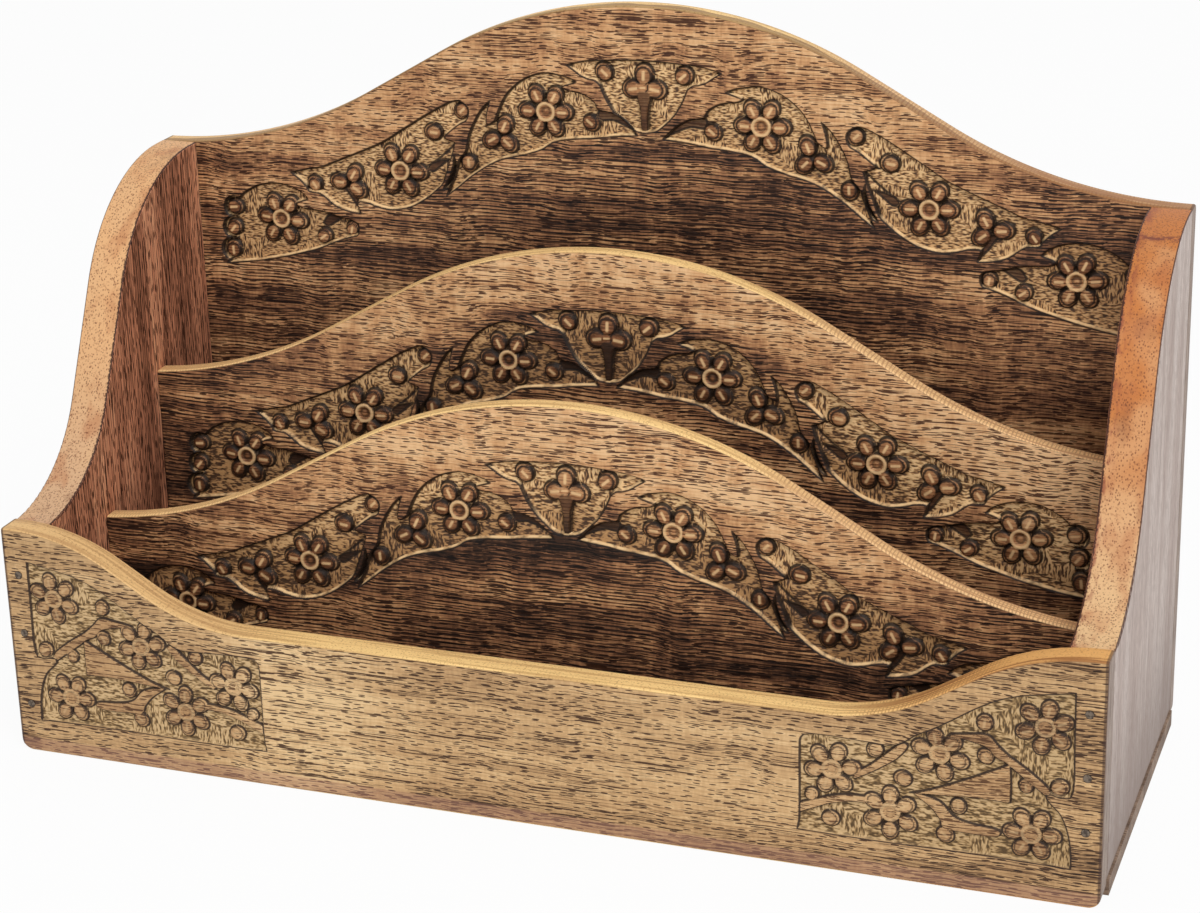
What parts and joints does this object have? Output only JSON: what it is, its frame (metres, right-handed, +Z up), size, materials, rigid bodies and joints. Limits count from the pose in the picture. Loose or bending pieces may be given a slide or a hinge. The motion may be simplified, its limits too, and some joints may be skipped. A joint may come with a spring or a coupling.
{
  "type": "letter rack",
  "caption": "Free-standing wooden letter rack: arched back and stepped dividers with carved flower bands between S-edged sides, behind a low scooped front panel.",
  "frame": {"origin": "centre of the overall box on the surface that the rack stands on", "axes": "+X across the rack to the right seen from the front, +Y to the back panel, +Z up"},
  "size_m": [0.3062, 0.114, 0.1975],
  "materials": {
    "arched_boards": "satin",
    "front_board": "satin",
    "side_boards": "satin",
    "bottom_board": "satin",
    "brad_steel": "dull"
  },
  "bodies": {
    "root": {"back_panel": "arched_boards", "middle_divider": "arched_boards", "front_divider": "arched_boards", "front_panel": "front_board", "left_side": "side_boards", "right_side": "side_boards", "bottom_panel": "bottom_board", "front_panel_brads": "brad_steel", "back_panel_brads": "brad_steel", "bottom_panel_brads": "brad_steel"}
  },
  "joints": []
}
